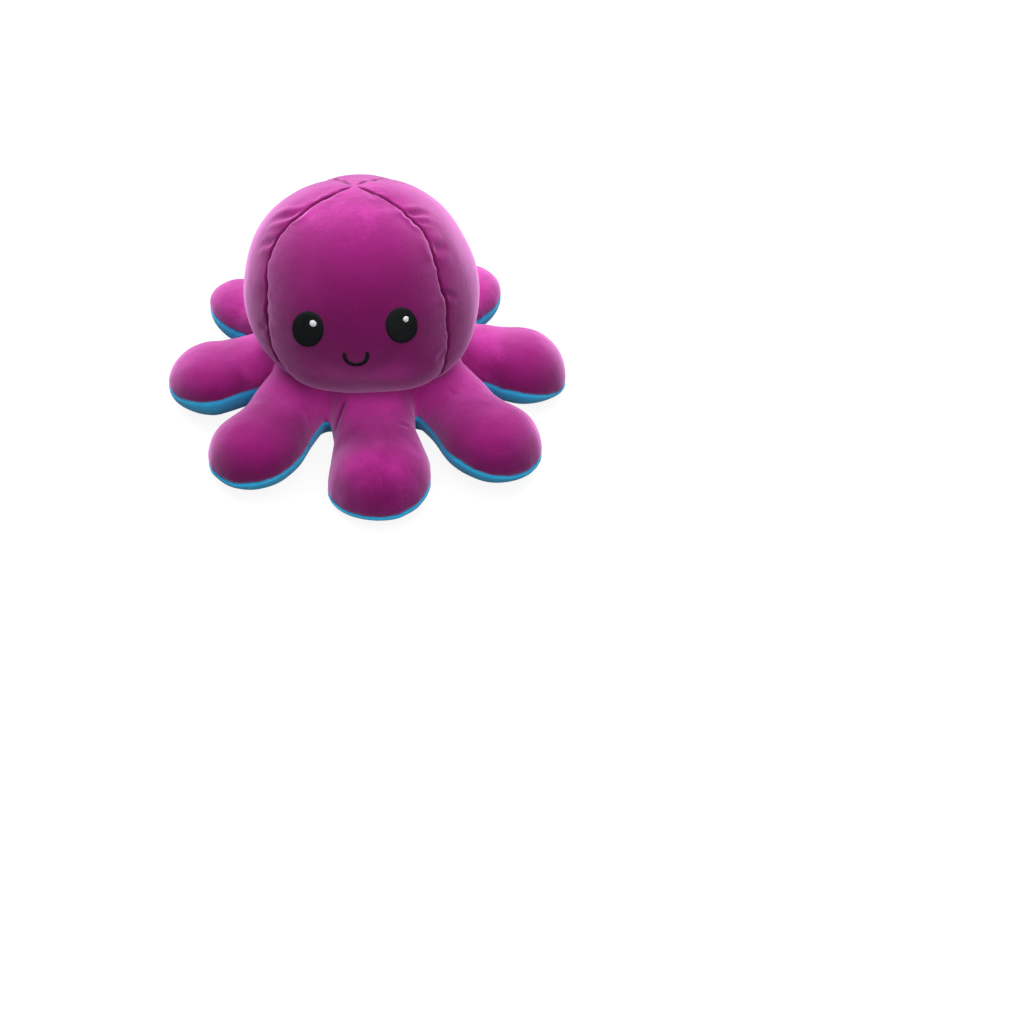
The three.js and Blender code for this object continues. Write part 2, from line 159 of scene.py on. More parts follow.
# %% [markdown]
# ## Helpers for the making
# Cloth pieces start as a flat grid that is laid over the form, as a pattern piece is. The grid may
# have its columns closer together beside a seam, where the cloth rolls in. A finished piece becomes
# an object at the origin, with its place in its mesh, and all but the arms' pieces ride on the body.


# %% Helpers
def laid_grid(columns, rows, place):
    made = bmesh.new()
    bmesh.ops.create_grid(made, x_segments=columns, y_segments=rows, size=0.5)
    for vertex in made.verts:
        vertex.co = place(vertex.co.x + 0.5, vertex.co.y + 0.5)
    bmesh.ops.remove_doubles(made, verts=made.verts, dist=0.002)
    bmesh.ops.recalc_face_normals(made, faces=made.faces)
    return made


def finished(made, name, material):
    bmesh.ops.scale(made, vec=(MM, MM, MM), verts=made.verts)
    mesh = bpy.data.meshes.new(name)
    made.to_mesh(mesh)
    made.free()
    mesh.shade_smooth()
    mesh.materials.append(material)
    piece = bpy.data.objects.new(name, mesh)
    bpy.context.scene.collection.objects.link(piece)
    return piece


CLOTH_THICKNESS = 0.9


def finished_cloth(made, name, material, painted_light_nap):
    # Keeps on each vertex how pale its cloth is painted, from 0 to 1, as painted light and shade.
    piece = finished(made, name, material)
    kept = piece.data.attributes.new("painted_light_nap", "FLOAT", "POINT")
    for vertex in piece.data.vertices:
        kept.data[vertex.index].value = painted_light_nap(vertex.co / MM, vertex.normal)
    wall = piece.modifiers.new("cloth thickness", "SOLIDIFY")
    wall.thickness = CLOTH_THICKNESS * MM
    wall.offset = -1
    wall.use_rim = False
    return piece


def ripple(place, along_scale, seed):
    return noise.noise(Vector(place) * along_scale + Vector((seed, seed * 1.7, seed * 0.3)))


# %% [markdown]
# ## Materials
# A finish could be painted on each piece. Here every finish is one shader with noises on Object
# coordinates, which needs no unwrapping and never stretches. The same few helpers make them all.


# %% Helpers for materials
def colour(red, green, blue):
    channels = [value / 255 for value in (red, green, blue)]
    linear = [c / 12.92 if c <= 0.04045 else ((c + 0.055) / 1.055) ** 2.4 for c in channels]
    return (*linear, 1.0)


def material_parts(name):
    material = bpy.data.materials.new(name)
    material.use_nodes = True
    tree = material.node_tree
    return material, tree, tree.nodes["Principled BSDF"], tree.nodes.new("ShaderNodeTexCoord")


def filled(tree, node, values):
    # Each value is a constant or the output of another node, under the name of its input.
    for name, value in values.items():
        if isinstance(value, bpy.types.NodeSocket):
            tree.links.new(value, node.inputs[name])
        else:
            node.inputs[name].default_value = value
    return node.outputs


def node_on(tree, kind, values):
    return filled(tree, tree.nodes.new(kind), values)


def math_on(tree, operation, *values):
    made = tree.nodes.new("ShaderNodeMath")
    made.operation = operation
    return filled(tree, made, dict(enumerate(values)))["Value"]


def noise_on(tree, place, scale, detail, roughness=0.5, distortion=0.0):
    values = {"Vector": place.outputs["Object"], "Scale": scale, "Detail": detail}
    values |= {"Roughness": roughness, "Distortion": distortion}
    return node_on(tree, "ShaderNodeTexNoise", values)["Fac"]


def tones_from(tree, share, first, last, middle=None):
    # Each of the three is a position and its colour.
    tones = tree.nodes.new("ShaderNodeValToRGB")
    for element, (position, shade) in zip(tones.color_ramp.elements, (first, last)):
        element.position = position
        element.color = shade
    if middle is not None:
        tones.color_ramp.elements.new(middle[0]).color = middle[1]
    return filled(tree, tones, {"Fac": share})["Color"]


def bump_from(tree, height, strength, distance, **below):
    values = {"Height": height, "Strength": strength, "Distance": distance} | below
    return node_on(tree, "ShaderNodeBump", values)["Normal"]


# %% [markdown]
# ## Plush
# The skin is a short velour. Hairs could be grown on it, but at this size the pile shows only as
# colour and gleam, so the shader does it. Sheen gives the light pink gleam where the pile is seen
# edge on. Light and shade are also painted into its colour: painted shade on the face, under the
# chin and along the seams and a crease, and painted light on the crown and the roots of the arms.
# Each piece keeps that painted light and shade as its nap. A slow noise adds soft clouds to it, and a
# fine one in the bump breaks the surface into pile.

# %% Plush material
CLOUD_SHARE = 0.36
PILE_SHARE = 0.25


def plush(name, dark_tone_and_shade, between, pale_tone_and_light, gleam, gleam_weight):
    material, tree, shader, place = material_parts(name)
    clouds = noise_on(tree, place, 55.0, 3.0, roughness=0.55, distortion=0.4)
    pile = noise_on(tree, place, 1500.0, 2.0, roughness=0.6)
    # Painted light and shade, kept on each vertex, with soft clouds and pile added to it.
    painted_light_nap = tree.nodes.new("ShaderNodeAttribute")
    painted_light_nap.attribute_name = "painted_light_nap"
    light_and_clouds = math_on(tree, "MULTIPLY_ADD", clouds, CLOUD_SHARE, painted_light_nap.outputs["Fac"])
    light_clouds_and_pile = math_on(tree, "MULTIPLY_ADD", pile, PILE_SHARE, light_and_clouds)
    # The noises lie round a half, so half their shares comes off again.
    centred = math_on(tree, "SUBTRACT", light_clouds_and_pile, (CLOUD_SHARE + PILE_SHARE) / 2)
    soft_bump = bump_from(tree, noise_on(tree, place, 170.0, 2.0), 0.22, 0.0009)
    look = {
        "Base Color": tones_from(tree, centred, (0, dark_tone_and_shade), (1, pale_tone_and_light), (0.5, between)),
        "Roughness": 0.9,
        "Specular IOR Level": 0.0,
        "Sheen Weight": gleam_weight,
        "Sheen Roughness": 0.48,
        "Sheen Tint": gleam,
        "Normal": bump_from(tree, pile, 0.35, 0.0004, Normal=soft_bump),
    }
    filled(tree, shader, look)
    return material


# The palest tone is painted light on the crown and the roots, and the darkest is painted shade under
# the chin and along the seams.
purple_plush = plush(
    "purple plush",
    dark_tone_and_shade=colour(98, 7, 68),
    between=colour(128, 18, 98),
    pale_tone_and_light=colour(222, 66, 180),
    gleam=colour(255, 178, 245),
    gleam_weight=1.0,
)
blue_plush = plush(
    "blue plush",
    dark_tone_and_shade=colour(26, 170, 235),
    between=colour(62, 191, 246),
    pale_tone_and_light=colour(112, 212, 250),
    gleam=colour(185, 230, 255),
    gleam_weight=0.6,
)

# %% [markdown]
# ## Fill and thread
# The fill is tangled white fibre. It is hidden inside the skins, so a noise that is pulled into
# wisps is enough. The faces are stitched in a matt thread. Its strands come from the mesh, and the
# material only breaks them up.


# %% Fibre fill
def fibre(name):
    material, tree, shader, place = material_parts(name)
    tangle = noise_on(tree, place, 240.0, 6.0, distortion=2.5)
    tones = tones_from(tree, tangle, (0, colour(205, 205, 202)), (1, colour(250, 250, 248)))
    look = {
        "Base Color": tones,
        "Roughness": 0.95,
        "Sheen Weight": 0.3,
        "Normal": bump_from(tree, tangle, 0.6, 0.001),
    }
    filled(tree, shader, look)
    return material


stuffing = fibre("fibre fill")


# %% Embroidery thread
def thread(name, shade, light, roughness):
    material, tree, shader, place = material_parts(name)
    strands = noise_on(tree, place, 900.0, 2.0)
    look = {
        "Base Color": tones_from(tree, strands, (0.3, shade), (0.7, light)),
        "Roughness": roughness,
        "Specular IOR Level": 0.12,
        "Normal": bump_from(tree, strands, 0.3, 0.0002),
    }
    filled(tree, shader, look)
    return material


black_thread = thread("black thread", colour(3, 6, 7), colour(9, 14, 15), roughness=0.6)
white_thread = thread(
    "white thread", colour(225, 228, 230), colour(250, 251, 252), roughness=0.5
)
print("materials:", [material.name for material in bpy.data.materials])

# %% [markdown]
# ## Arms
# An arm is a soft tube, wide at its root, narrower at its neck and round at its toe. Tops and soles
# could be laid as two flat shapes and sewn. Instead the whole skin is laid as one grid round the
# tube, and planes cut it: two upright ones where it meets its neighbours, and a level one where the
# purple top is sewn to the blue sole. Plane cuts make the pieces meet exactly.

# %% Arms: the form
# Heights from the seam, in millimetres, at which loops are cut. They let the cloth roll in there.
SEAM_LOOPS = [0.0, 0.35, -0.35, 0.8, -0.8, 1.5, -1.5, 2.4, -2.4]


def along_arm(reach, at_root, at_neck, at_toe):
    rooted = smooth_step(reach, ROOT_REACH, NECK_REACH)
    swollen = smooth_step(reach, NECK_REACH, TOE_CENTRE)
    return mix(mix(at_root, at_neck, rooted), at_toe, swollen)


def arm_half_width(reach):
    return along_arm(reach, ROOT_HALF_WIDTH, NECK_HALF_WIDTH, TOE_RADIUS)


def arm_crown(reach):
    return along_arm(reach, ROOT_CROWN, NECK_CROWN, TOE_CROWN)


def powered(value, power):
    return math.copysign(abs(value) ** power, value)


# The reach where an arm's skin starts, and the share of its rows that end where its toe begins.
ARM_START = 18.0
STRAIGHT_SHARE = 0.66


def arm_point(around, along, inset=0.0):
    angle = around * 2 * math.pi
    if along < STRAIGHT_SHARE:
        reach = mix(ARM_START, TOE_CENTRE, along / STRAIGHT_SHARE)
        narrowing = 1.0
    else:
        toe_angle = math.pi / 2 * (along - STRAIGHT_SHARE) / (1 - STRAIGHT_SHARE)
        reach = TOE_CENTRE + (TOE_RADIUS - inset) * math.sin(toe_angle)
        narrowing = max(0.0, math.cos(toe_angle))
    width_reach = min(reach, TOE_CENTRE)
    flatness = narrowing**FULLNESS
    half_width = (arm_half_width(width_reach) - inset) * narrowing
    crown = (arm_crown(width_reach) - inset) * flatness
    depth = (SOLE_DEPTH - inset) * flatness
    height = crown if math.sin(angle) > 0 else depth
    across = half_width * powered(math.cos(angle), FULLNESS)
    above = height * powered(math.sin(angle), FULLNESS)
    return Vector((reach, across, ARM_MIDDLE + above))


def arm_angle(arm):
    return math.radians(-90 + 45 * arm)


def arm_direction(arm):
    return Vector((math.cos(arm_angle(arm)), math.sin(arm_angle(arm)), 0))


def turned_to_arm(made, arm):
    turn = Matrix.Rotation(arm_angle(arm), 4, "Z")
    bmesh.ops.transform(made, matrix=turn, verts=made.verts)


# %% Arms: one skin
def cut(made, point, normal, keep_below=False):
    bmesh.ops.bisect_plane(
        made,
        geom=made.verts[:] + made.edges[:] + made.faces[:],
        dist=1e-4,
        plane_co=point,
        plane_no=normal,
        clear_outer=keep_below,
    )


def arm_skin(arm):
    made = laid_grid(96, 76, arm_point)
    for side in (-1, 1):
        half = side * math.pi / ARM_COUNT
        cut(made, (0, 0, 0), (-math.sin(half) * side, math.cos(half) * side, 0), keep_below=True)
    for offset in SEAM_LOOPS:
        cut(made, (0, 0, ARM_MIDDLE + offset), (0, 0, 1))
    arms = made.faces.layers.int.new("arm")
    soles = made.faces.layers.int.new("sole")
    for face in made.faces:
        face[arms] = arm
        face[soles] = int(face.calc_center_median().z < ARM_MIDDLE)
    turned_to_arm(made, arm)
    return made


# %% Arms: the eight skins joined into one star
star = bmesh.new()
for arm in range(ARM_COUNT):
    skin = arm_skin(arm)
    mesh = bpy.data.meshes.new("skin")
    skin.to_mesh(mesh)
    skin.free()
    star.from_mesh(mesh)
    bpy.data.meshes.remove(mesh)
bmesh.ops.remove_doubles(star, verts=star.verts, dist=0.06)
print("star:", len(star.verts), "vertices,", sum(e.is_boundary for e in star.edges), "on an edge")

# %% [markdown]
# The skins meet in sharp valleys, but cloth spans a valley. A bevel would round it evenly all along.
# Smoothing the vertices beside each crease, and only those, rounds it as the fill does.


# %% Arms: creases rounded
HALF_ARM = 22.5


def crease_distance(place):
    angle = math.degrees(math.atan2(place.y, place.x)) + 90
    folded = abs((angle + HALF_ARM) % 45 - HALF_ARM)
    return level_radius(place) * math.sin(math.radians(HALF_ARM - folded))


for spread, rounds in ((10.0, 7), (5.0, 8)):
    beside = [
        v
        for v in star.verts
        if crease_distance(v.co) < spread and level_radius(v.co) > 22 and not v.is_boundary
    ]
    for _ in range(rounds):
        bmesh.ops.smooth_vert(
            star, verts=beside, factor=0.5, use_axis_x=True, use_axis_y=True, use_axis_z=True
        )

# %% [markdown]
# In front of the head the purple skin runs on as a nearly flat web from root to root, because the
# two skins are sewn together round the notch and nothing pulls the web down there. Towards the head
# it rises, where the head's weight presses the fill of the roots out to the sides.

# %% Arms: the web between the roots
WEB_LIFT = 5.0
ROOT_LIFT = 6.0
for vertex in star.verts:
    above = smooth_step(vertex.co.z - ARM_MIDDLE, 0, 6)
    radius = level_radius(vertex.co)
    web = smooth_step(radius, 22, 34) * (1 - smooth_step(radius, 42, 50.5))
    web *= hump(crease_distance(vertex.co), 0, 6.0)
    pressed_out = smooth_step(radius, 16, 32) * (1 - smooth_step(radius, 40, 58))
    vertex.co.z += above * (WEB_LIFT * web + ROOT_LIFT * pressed_out)

# %% [markdown]
# At the seam the two skins turn in, so each swells over it like the edge of a cushion. The thread
# lies hidden, so only its pull is made: it gathers the skins a little, over a few millimetres.


# %% Arms: the seam drawn in and gathered
ARM_SEAM_WIDTH = 2.4
ARM_SEAM_DEPTH = 1.5


def arm_of(place):
    angle = math.degrees(math.atan2(place.y, place.x)) + 90
    return int(((angle + HALF_ARM) % 360) // 45)


def seam_roll(distance, width, depth):
    share = max(0.0, 1 - distance / width)
    return depth * (1 - math.sqrt(max(0.0, 1 - share * share)))


star.normal_update()
moves = []
for vertex in star.verts:
    distance = abs(vertex.co.z - ARM_MIDDLE)
    outward = Vector((vertex.normal.x, vertex.normal.y, vertex.normal.z * 0.3))
    if level_radius(vertex.co) < 40 or distance > 14 or outward.length < 0.2:
        continue
    outward.normalize()
    drawn = -seam_roll(distance, ARM_SEAM_WIDTH, ARM_SEAM_DEPTH)
    place = (vertex.co.x, vertex.co.y, vertex.co.z * 0.15)
    gather = 0.34 * ripple(place, 0.16, 3.1) + 0.16 * ripple(place, 0.37, 7.7)
    fade = math.exp(-distance / 5.0)
    moves.append((vertex, outward * (drawn + gather * fade * 1.2)))
for vertex, move in moves:
    vertex.co += move
print("seam vertices moved:", len(moves))

# %% [markdown]
# The arms have rolled a little, each its own way, so the seam lies low on one side of an arm and
# high on the other, where the blue sole shows. The cut stays plane, so that its two sides match.
# Afterwards it is moved up or down with the cloth beside it, while crown and sole stay in place.

# %% Arms: the height of the seam
# In millimetres: in the notch towards each arm's next neighbour, on each arm's two sides, the one
# towards the neighbour before first, and on its toe.
NOTCH_SEAMS = [14.5, 15.0, 14.5, 14.0, 14.0, 15.0, 16.0, 13.5]
SIDE_SEAMS = [
    (3.0, 12.5),
    (14.5, 4.0),
    (14.0, 12.0),
    (16.5, 14.0),
    (14.0, 14.0),
    (14.0, 17.0),
    (13.0, 17.5),
    (3.0, 13.5),
]
TOE_SEAMS = [5.5, 8.0, 3.0, 15.5, 14.0, 16.0, 10.5, 7.5]


def seam_height(arm, reach, offside):
    # Angle round the arm's outline, from its toe to the notch on either side.
    angle = math.degrees(math.atan2(offside, reach - 62))
    side = SIDE_SEAMS[arm][int(angle > 0)]
    if abs(angle) < 75:
        return mix(TOE_SEAMS[arm], side, smooth_step(abs(angle), 0, 75))
    notch = NOTCH_SEAMS[arm if angle > 0 else arm - 1]
    return mix(side, notch, smooth_step(abs(angle), 75, 120))


def seen_from_arm(place):
    arm = arm_of(place)
    ahead = arm_direction(arm)
    aside = Vector((-ahead.y, ahead.x, 0))
    return arm, ahead, aside, place.dot(ahead), place.dot(aside)


def seam_moved(place):
    arm, _, _, reach, offside = seen_from_arm(place)
    seam = seam_height(arm, reach, offside)
    room = arm_crown(min(reach, TOE_CENTRE)) if place.z > ARM_MIDDLE else SOLE_DEPTH
    share = max(0.0, 1 - abs(place.z - ARM_MIDDLE) / room)
    return Vector((place.x, place.y, place.z + (seam - ARM_MIDDLE) * share))


# %% [markdown]
# Each arm also lies its own way. In the photograph the front arm's root is broad and pushes the
# notches beside it outwards, the arms at the sides are a little shorter, and those at the back are
# smaller. Up to the notches the skin is turned about the middle of the toy, by as much as each notch
# has moved. From there to the toe the turn passes over into the arm's own. The ring of roots sits a
# little behind the middle of the toes. The fill isn't even either, so the skin swells and sinks a
# little, and the soles are flat on the ground.

# %% Arms: how they lie
# For each notch, towards the arm's next neighbour: degrees that it has moved, and millimetres that
# it is cut in deeper.
NOTCH_TURNS = [5.0, 6.0, 3.0, 0.0, 0.0, -3.0, -8.0, -8.0]
NOTCH_DEPTHS = [5.0, 1.5, 1.5, 1.5, 1.5, 1.5, 1.5, 5.0]
# For each arm beyond its neck: degrees of turn, the reach at which it has made that turn,
# millimetres longer, and its width and height against the plain arm's.
ARM_TURNS = [-0.8, -0.8, 0.5, 2.6, 0.0, -2.2, -3.2, -3.4]
TURNED_REACHES = [60, 74, 74, 74, 74, 74, 74, 74]
ARM_LONGER = [-2.2, 1.2, -3.2, -1.0, -1.0, -1.5, -5.8, -1.6]
ARM_WIDTHS = [1.03, 0.97, 0.94, 0.83, 0.95, 0.77, 0.91, 0.93]
ARM_HEIGHTS = [1.0, 1.0, 0.97, 0.84, 0.97, 0.8, 0.93, 0.98]
ROOTS_BEHIND = 4.5


def as_it_lies(place):
    arm, ahead, aside, reach, offside = seen_from_arm(place)
    beyond = smooth_step(reach, 50, 74)
    reach += ARM_LONGER[arm] * smooth_step(reach, 46, 90)
    offside *= mix(1, ARM_WIDTHS[arm], beyond)
    height = place.z * mix(1, ARM_HEIGHTS[arm], beyond)
    share = math.degrees(math.atan2(offside, reach)) / HALF_ARM
    notch = arm if share > 0 else arm - 1
    middle_turn = 0.3 * (NOTCH_TURNS[arm] + NOTCH_TURNS[arm - 1])
    root_turn = mix(middle_turn, NOTCH_TURNS[notch], min(1.0, abs(share)))
    radius = math.hypot(reach, offside)
    turn = mix(root_turn, ARM_TURNS[arm], smooth_step(radius, 44, TURNED_REACHES[arm]))
    near = hump(abs(share), 1, 0.4) * hump(radius, 49, 9)
    # The blue skin is drawn in further than the purple one, but not where it rests on the ground.
    undercut = 4.0 * smooth_step(ARM_MIDDLE - place.z, 0.5, 8) * (1 - smooth_step(-place.z, -4, 0))
    cut_in = (NOTCH_DEPTHS[notch] + undercut) * near / max(radius, 1)
    moved = (ahead * reach + aside * offside) * (1 - cut_in)
    moved = Matrix.Rotation(math.radians(turn), 3, "Z") @ moved
    behind = smooth_step(radius, 27, 40) * (1 - smooth_step(radius, 48, 76))
    height += 1.2 * smooth_step(radius, 62, 100)
    return Vector((moved.x, moved.y + ROOTS_BEHIND * behind, height))


FLATTENED_BELOW = 0.6
star.normal_update()
for vertex in star.verts:
    swell = 0.55 * noise.noise(vertex.co * 0.045 + Vector((9, 4, 2)))
    swell += 0.22 * noise.noise(vertex.co * 0.11 + Vector((1, 8, 5)))
    vertex.co += vertex.normal * swell
for vertex in star.verts:
    vertex.co = as_it_lies(seam_moved(vertex.co))
    if vertex.co.z < FLATTENED_BELOW:
        vertex.co.z = 0.3 + 0.5 * max(-FLATTENED_BELOW, vertex.co.z - FLATTENED_BELOW)
print("lowest point of the soles in mm:", round(min(v.co.z for v in star.verts), 2))

# %% [markdown]
# Where a root is squeezed between the head and a notch, the web creases. The creases that show in
# the photograph could be sculpted. Pressed in one by one as numbers, they are easy to move.

# %% Arms: creases of the web
# From x, y to x, y, then half the width and the depth of the crease.
FOLDS = [
    (-13.8, -40.0, -19.5, -49.0, 1.2, 1.1),
    (18.8, -38.0, 20.0, -46.5, 1.2, 1.0),
    (-32.5, -38.5, -31.5, -45.0, 1.4, 0.6),
    (9.4, -57.0, 14.6, -56.6, 1.4, 0.5),
    (34.0, -35.0, 38.0, -41.0, 1.6, 0.3),
    (45.0, -12.0, 52.0, -15.5, 1.5, 1.0),
    (-46.0, -8.0, -53.0, -12.5, 1.5, 1.0),
    (20.0, 39.0, 25.0, 47.0, 1.5, 1.2),
    (-22.0, 39.0, -20.0, 47.0, 1.5, 1.2),
]


def off_way(spot, way):
    # How far a spot lies off a way that starts at zero, and at which share of its length.
    share = min(1.0, max(0.0, spot.dot(way) / way.length_squared))
    return (spot - way * share).length, share


def from_line(place, x0, y0, x1, y1):
    start = Vector((x0, y0))
    return off_way(Vector((place.x, place.y)) - start, Vector((x1, y1)) - start)


def creased(off_line, half_width, bank_share):
    # A soft valley with a low bank on either side.
    bank = hump(off_line, 2.0 * half_width, half_width)
    return hump(off_line, 0, half_width) - bank_share * bank


beside_folds = []
for edge in star.edges:
    middle = (edge.verts[0].co + edge.verts[1].co) / 2
    if middle.z < ARM_MIDDLE + 3:
        continue
    if any(from_line(middle, *fold[:4])[0] < 2.6 * fold[4] for fold in FOLDS):
        beside_folds.append(edge)
bmesh.ops.subdivide_edges(star, edges=beside_folds, cuts=1, use_grid_fill=True)
bmesh.ops.triangulate(star, faces=[f for f in star.faces if len(f.verts) > 4])
for vertex in star.verts:
    if vertex.co.z < ARM_MIDDLE + 3:
        continue
    for x0, y0, x1, y1, half_width, fold_depth in FOLDS:
        off_line, share = from_line(vertex.co, x0, y0, x1, y1)
        if off_line < 3 * half_width:
            fade = 1 - abs(2 * share - 1) ** 4
            vertex.co.z -= fold_depth * fade * creased(off_line, half_width, 0.35)
print("creases pressed into the web:", len(FOLDS))

# %% [markdown]
# The star is now parted along its seams into eight purple covers and eight blue soles. Their colour
# has painted light on the roots, most in front, and painted shade in the deepest crease.

# %% Arms: cut into covers and soles
star_mesh = bpy.data.meshes.new("star")
star.to_mesh(star_mesh)
star_surface = BVHTree.FromBMesh(star)
star.free()


def arm_part(arm, is_sole):
    made = bmesh.new()
    made.from_mesh(star_mesh)
    arms = made.faces.layers.int["arm"]
    soles = made.faces.layers.int["sole"]
    gone = [
        f
        for f in made.faces
        if f[arms] != arm
        or f[soles] != is_sole
        or level_radius(f.calc_center_median()) < MOUTH_RADIUS
    ]
    bmesh.ops.delete(made, geom=gone, context="FACES")
    # The rim is brought onto the round mouth.
    for vertex in made.verts:
        radius = level_radius(vertex.co)
        if vertex.is_boundary and radius < MOUTH_RADIUS + 3:
            vertex.co.x *= MOUTH_RADIUS / radius
            vertex.co.y *= MOUTH_RADIUS / radius
    return made


# %% Arms: painted light and shade on the pile
# How pale the cloth is painted: for each arm beyond its root, as painted light and shade, and then
# for cloth that lies evenly.
ARM_PAINTED_LIGHT = [0.54, 0.46, 0.45, 0.52, 0.5, 0.5, 0.46, 0.36]
EVEN_NAP = 0.5


def even_nap(place, normal):
    return EVEN_NAP


def arm_painted_light(place, normal):
    radius = level_radius(place)
    # Painted light on the roots, most in front, and on cloth that faces up; painted shade in the
    # deepest crease.
    lit_root = 1 - smooth_step(radius, 42, 70)
    lit_root *= 0.62 + 0.38 * hump(math.atan2(place.x, -place.y), 0, 0.6)
    off_line, share = from_line(place, *FOLDS[0][:4])
    painted_groove_shade = hump(off_line, 0, 1.1) * (1 - abs(2 * share - 1) ** 4)
    own = mix(EVEN_NAP, ARM_PAINTED_LIGHT[arm_of(place)], smooth_step(radius, 52, 76))
    return own + 0.42 * lit_root + 0.04 * smooth_step(normal.z, 0.4, 1.0) - 0.45 * painted_groove_shade


def bent_with_arm(piece):
    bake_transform(piece)


for arm in range(ARM_COUNT):
    body = f"arm_{arm + 1}"
    parts = (
        (f"{body}_cover", 0, purple_plush, "purple_plush", (f"{body}_top", "skirt_top")),
        (f"{body}_blue_sole", 1, blue_plush, "blue_plush", (f"{body}_sole", "skirt_underside")),
    )
    for name, is_sole, material, slot, stands_for in parts:
        painted_light_nap = even_nap if is_sole else arm_painted_light
        piece = finished_cloth(arm_part(arm, is_sole), name, material, painted_light_nap)
        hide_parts(*stands_for)
        bent_with_arm(piece)
print("arm pieces:", 2 * ARM_COUNT)

# %% [markdown]
# The fill of an arm is one plug of fibre. It is laid by the arm's own grid, a little inside the skin,
# so it needs no fitting. It reaches in to the roots, where it runs into its neighbours as fill does.

# %% Arms: their fill
FILL_FROM = 32.0
FILL_INSIDE_SKIN = 3.0
for arm in range(ARM_COUNT):
    made = laid_grid(
        32, 26, lambda around, along: arm_point(around, along, inset=FILL_INSIDE_SKIN)
    )
    cut(made, (FILL_FROM, 0, 0), (-1, 0, 0), keep_below=True)
    bmesh.ops.holes_fill(made, edges=[e for e in made.edges if e.is_boundary])
    turned_to_arm(made, arm)
    for vertex in made.verts:
        vertex.co = as_it_lies(seam_moved(vertex.co))
    piece = finished(made, f"arm_{arm + 1}_fill", stuffing)
    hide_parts(f"arm_{arm + 1}_stuffing")
    bent_with_arm(piece)
print("arms filled:", ARM_COUNT)

# %% [markdown]
# ## Head
# The head is four gores sewn from the crown down, a wide one in front and behind and a narrow one at
# each side. They could be cut flat and blown up by a cloth simulation. Laid over the form they keep
# the seams where the photograph shows them. Each gore is a grid in degrees round the head and up it,
# with its columns crowded beside its seams, where the cloth rolls in towards the thread. Below, the
# head spreads flat on the arms' roots, so its lowest rows are lifted onto the star.

# %% Head: place and form
head_place = (
    Matrix.Translation((HEAD_SHIFT, 0, HEAD_HEIGHT))
    @ Matrix.Rotation(math.radians(HEAD_TURN), 4, "Z")
    @ Matrix.Rotation(math.radians(HEAD_ROLL), 4, "Y")
    @ Matrix.Rotation(math.radians(-HEAD_LEAN), 4, "X")
)
# Each gore's side, the azimuth of its middle and the angle that it takes.
PANELS = [
    ("front", 0.0, FRONT_PANEL_ANGLE),
    ("right", 90.0, 180 - FRONT_PANEL_ANGLE),
    ("back", 180.0, FRONT_PANEL_ANGLE),
    ("left", 270.0, 180 - FRONT_PANEL_ANGLE),
]
LOWEST_ROW = -58.0


# %% Head: where the seams run
def head_seams(elevation):
    # Azimuths of the four seams, right front, right back, left back and left front. The front gore
    # takes more of the crown than of the chin, and the back gore less. No seam runs quite straight.
    half = FRONT_PANEL_ANGLE / 2
    right = half + 8 * smooth_step(elevation, 18, 52)
    left = half + 9 * smooth_step(elevation, 6, 42)
    back = half - 18 * smooth_step(elevation, 0, 75)
    straight = (right, 180 - back, 180 + back, 360 - left)
    wander = [
        0.45 * math.sin(elevation * 0.31 + k) + 0.2 * math.sin(elevation * 0.83 + 2 * k)
        for k in range(4)
    ]
    return [azimuth + aside for azimuth, aside in zip(straight, wander)]


def within_half_turn(angle):
    return (angle + 180) % 360 - 180


def from_head_seam(azimuth, elevation):
    return min(abs(within_half_turn(azimuth - seam)) for seam in head_seams(elevation))


def from_lining_seam(azimuth):
    folded = abs((azimuth + 90) % 180 - 90)
    return abs(folded - FRONT_PANEL_ANGLE / 2)


def crowded(share):
    # Shares across a gore, crowded at both seams.
    folded = 1 - abs(2 * share - 1)
    near = folded**2.2 * 0.8 + folded * 0.2
    return near / 2 if share < 0.5 else 1 - near / 2


# %% Head: creases beside the seams
# Those that show in the photograph: from azimuth and elevation to azimuth and elevation, half the
# width in millimetres, and the depth.
HEAD_FOLDS = [
    (59.0, 57.2, 80.0, 51.0, 1.7, 1.1),
    (57.0, 51.8, 70.0, 48.4, 1.5, 0.9),
    (55.0, 35.0, 67.0, 32.6, 2.6, 0.8),
    (-60.0, 58.4, -80.0, 45.2, 2.0, 1.1),
    (-62.0, 38.0, -70.5, 34.6, 1.7, 0.8),
    (51.5, 9.0, 58.0, 7.5, 1.6, 0.6),
    (-51.0, -6.0, -58.0, -8.0, 1.7, 0.6),
    (-44.0, -27.0, -50.0, -25.0, 1.6, 0.5),
    (44.0, -22.0, 50.0, -20.0, 1.6, 0.5),
]


def head_creases(azimuth, elevation):
    sunk = 0.0
    level = HEAD_RADIUS * math.cos(math.radians(elevation)) * math.pi / 180
    rise = HEAD_HALF_HEIGHT * math.pi / 180
    for azimuth0, elevation0, azimuth1, elevation1, half_width, depth in HEAD_FOLDS:
        aside = within_half_turn(azimuth - azimuth0)
        spot = Vector((aside * level, (elevation - elevation0) * rise))
        way = Vector(((azimuth1 - azimuth0) * level, (elevation1 - elevation0) * rise))
        off_line, share = off_way(spot, way)
        sunk += depth * (1 - share**3) * creased(off_line, half_width, 0.5)
    return -sunk


# %% Head: the form of the cloth
# Where the fill stands out or has sunk: millimetres, elevation and its spread, azimuth and its
# spread. In turn the left shoulder, the slack left side, the right cheek and the flat right side.
HEAD_SWELLS = [
    (1.4, 48, 18, -78, 30),
    (-1.3, 8, 24, -92, 24),
    (4.2, -35, 23, 64, 36),
    (-2.0, 26, 24, 92, 30),
]
HEAD_SEAM_WIDTH = 1.5
HEAD_SEAM_DEPTH = 1.1


